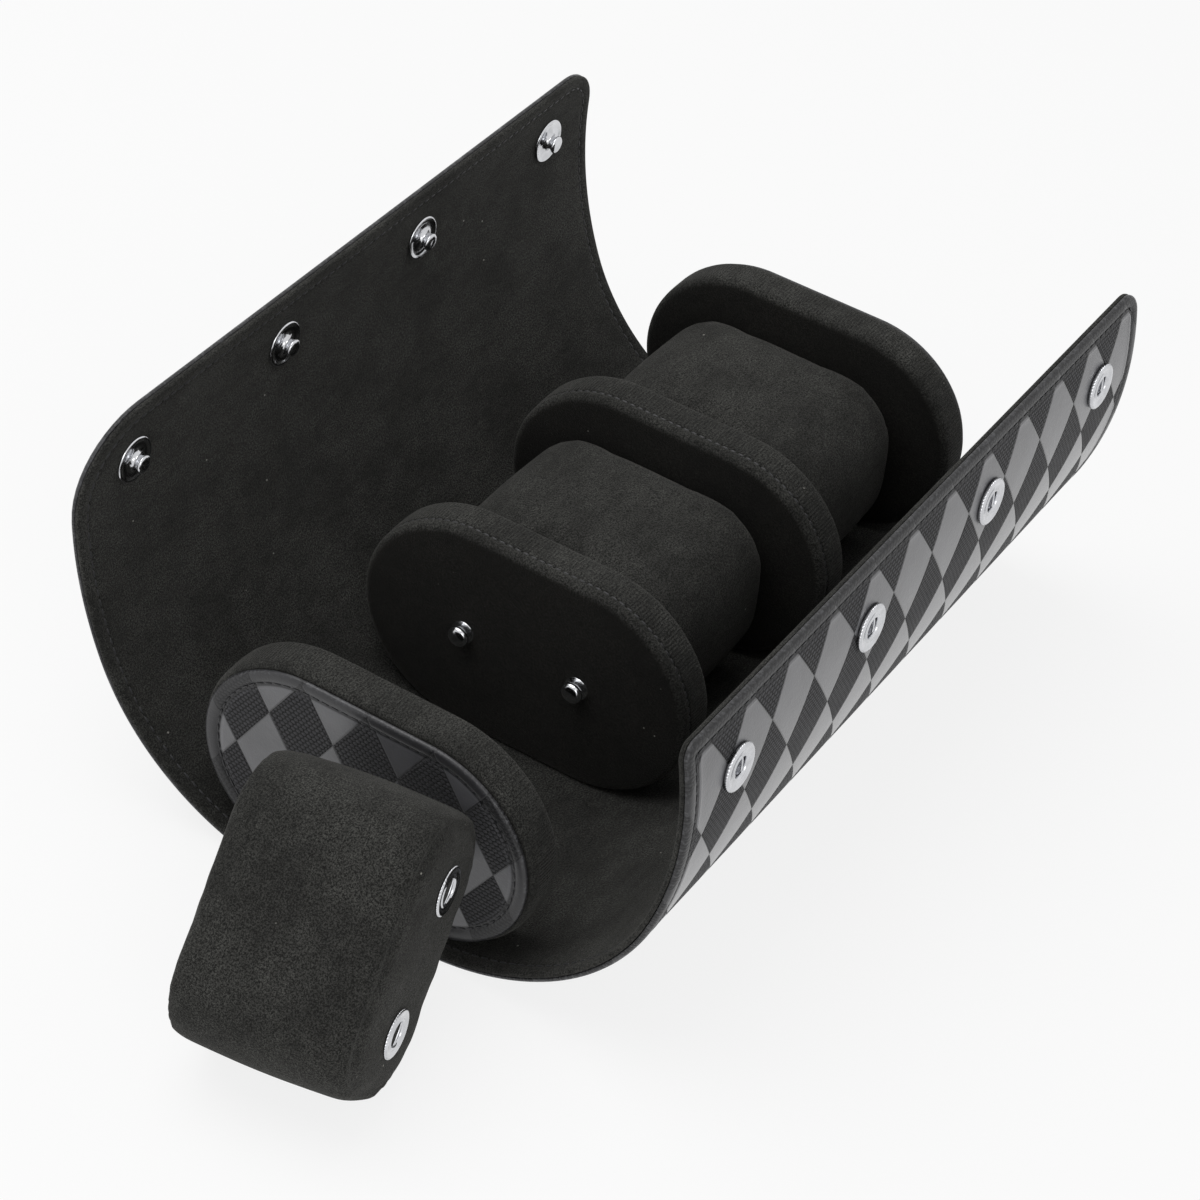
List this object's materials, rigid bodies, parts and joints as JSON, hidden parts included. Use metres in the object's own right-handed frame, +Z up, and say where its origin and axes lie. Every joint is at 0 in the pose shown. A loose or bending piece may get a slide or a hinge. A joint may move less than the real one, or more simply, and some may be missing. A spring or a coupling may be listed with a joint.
{
  "type": "watch travel case",
  "caption": "Soft travel roll for wristwatches: a stiffened leather wrap with snap-closing flaps, oval end caps and dividers, and removable suede cushions.",
  "frame": {"origin": "centre of the flat underside that the roll rests on", "axes": "+X along the roll, from the end where the loose cushion leans to the far end; +Y towards the flap that carries the snap studs; +Z up"},
  "size_m": [0.2746, 0.1636, 0.0966],
  "materials": {
    "outer_leather": "semi-gloss, embossed",
    "board": "matt",
    "suede_lining": "napped",
    "disc_suede": "napped",
    "cushion_suede": "napped",
    "foam": "open-cell",
    "chrome": "polished"
  },
  "bodies": {
    "base": {"base_skin": "outer_leather", "base_board": "board", "base_lining": "suede_lining", "front_cap_core": "board", "front_cap_cover": "disc_suede", "front_cap_face": "outer_leather", "front_divider_core": "board", "front_divider_cover": "disc_suede", "front_divider_studs": "chrome", "rear_divider_core": "board", "rear_divider_cover": "disc_suede", "rear_divider_studs": "chrome", "rear_cap_core": "board", "rear_cap_cover": "disc_suede", "rear_cap_face": "outer_leather", "rear_cap_studs": "chrome"},
    "left_lower": {"left_lower_skin": "outer_leather", "left_lower_board": "board", "left_lower_lining": "suede_lining"},
    "left_middle": {"left_middle_skin": "outer_leather", "left_middle_board": "board", "left_middle_lining": "suede_lining"},
    "left_tip": {"left_tip_skin": "outer_leather", "left_tip_board": "board", "left_tip_lining": "suede_lining", "left_studs": "chrome", "left_stud_caps": "chrome"},
    "right_lower": {"right_lower_skin": "outer_leather", "right_lower_board": "board", "right_lower_lining": "suede_lining"},
    "right_middle": {"right_middle_skin": "outer_leather", "right_middle_board": "board", "right_middle_lining": "suede_lining"},
    "right_tip": {"right_tip_skin": "outer_leather", "right_tip_board": "board", "right_tip_lining": "suede_lining", "right_sockets": "chrome", "right_socket_caps": "chrome"},
    "front_cushion": {"front_cushion_core": "foam", "front_cushion_cover": "cushion_suede", "front_cushion_sockets": "chrome"},
    "middle_cushion": {"middle_cushion_core": "foam", "middle_cushion_cover": "cushion_suede", "middle_cushion_sockets": "chrome"},
    "rear_cushion": {"rear_cushion_core": "foam", "rear_cushion_cover": "cushion_suede", "rear_cushion_sockets": "chrome"}
  },
  "joints": [
    {"name": "left_flap", "type": "hinge", "parent": "base", "child": "left_lower", "pos_m": [0, 0.03299, 0.00507], "axis": [1, 0, 0], "range_deg": [0, 29.88]},
    {"name": "left_middle_fold", "type": "hinge", "parent": "left_lower", "child": "left_middle", "pos_m": [0, 0.05983, 0.02278], "axis": [1, 0, 0], "range_deg": [0, 29.4]},
    {"name": "left_tip_fold", "type": "hinge", "parent": "left_middle", "child": "left_tip", "pos_m": [0, 0.07471, 0.05599], "axis": [1, 0, 0], "range_deg": [0, 28.4]},
    {"name": "right_flap", "type": "hinge", "parent": "base", "child": "right_lower", "pos_m": [0, -0.03168, 0.00453], "axis": [-1, 0, 0], "range_deg": [0, 29.5]},
    {"name": "right_middle_fold", "type": "hinge", "parent": "right_lower", "child": "right_middle", "pos_m": [0, -0.05757, 0.01868], "axis": [-1, 0, 0], "range_deg": [0, 28.9]},
    {"name": "right_tip_fold", "type": "hinge", "parent": "right_middle", "child": "right_tip", "pos_m": [0, -0.07373, 0.04279], "axis": [-1, 0, 0], "range_deg": [0, 30.2]},
    {"name": "front_cushion_lift", "type": "slide", "parent": "base", "child": "front_cushion", "axis": [0, 0, -1], "range_m": [-0.06, 0]},
    {"name": "middle_cushion_lift", "type": "slide", "parent": "base", "child": "middle_cushion", "axis": [0, 0, -1], "range_m": [-0.08, 0]},
    {"name": "rear_cushion_lift", "type": "slide", "parent": "base", "child": "rear_cushion", "axis": [0, 0, -1], "range_m": [-0.08, 0]}
  ],
  "couplings": [
    {"joint": "left_middle_fold", "follows": "left_flap", "ratio": 0.97959},
    {"joint": "left_tip_fold", "follows": "left_flap", "ratio": 0.94378},
    {"joint": "right_middle_fold", "follows": "right_flap", "ratio": 0.97186},
    {"joint": "right_tip_fold", "follows": "right_flap", "ratio": 1.019}
  ]
}
